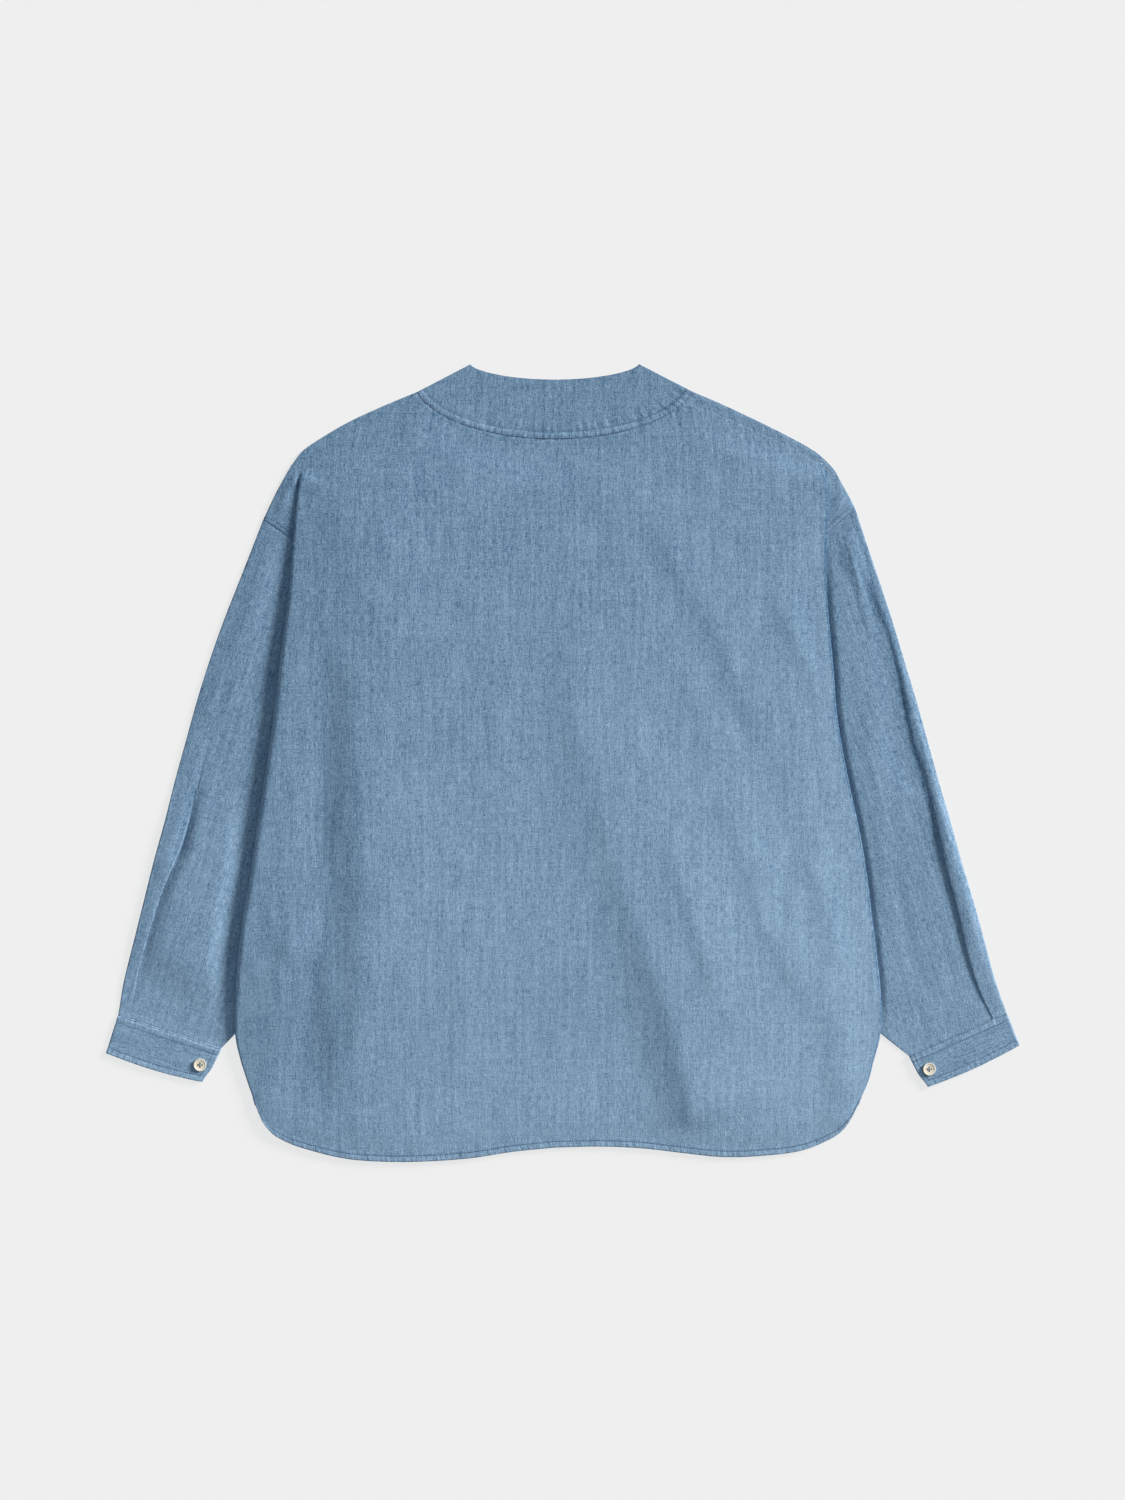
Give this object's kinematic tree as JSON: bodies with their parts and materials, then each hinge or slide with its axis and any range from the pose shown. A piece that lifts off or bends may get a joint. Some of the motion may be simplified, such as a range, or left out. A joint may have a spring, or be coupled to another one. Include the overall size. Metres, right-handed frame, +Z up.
{
  "type": "denim shirt, laid flat face down",
  "caption": "Oversized chambray-blue denim shirt laid flat and seen from the back, with a wide flat neckband, drop shoulders, full sleeves with a pleat into narrow buttoned cuffs, and a curved shirt-tail hem.",
  "frame": {"origin": "middle of the shirt's footprint, on the surface that it lies on", "axes": "+Z up from the surface through the layers, +Y from the hem to the neck, +X across the body towards the sleeve on the viewer's right"},
  "size_m": [0.8676, 0.7568, 0.0106],
  "materials": {
    "denim": "matte washed chambray denim",
    "thread": "matte navy sewing thread",
    "button": "semi-gloss cream with a tan tint"
  },
  "bodies": {
    "root": {"back": "denim", "front": "denim", "sleeve_left": "denim", "sleeve_right": "denim", "cuff_left": "denim", "cuff_right": "denim", "neckband_back": "denim", "neckband_front": "denim", "button_left": "button", "button_right": "button"}
  },
  "joints": []
}
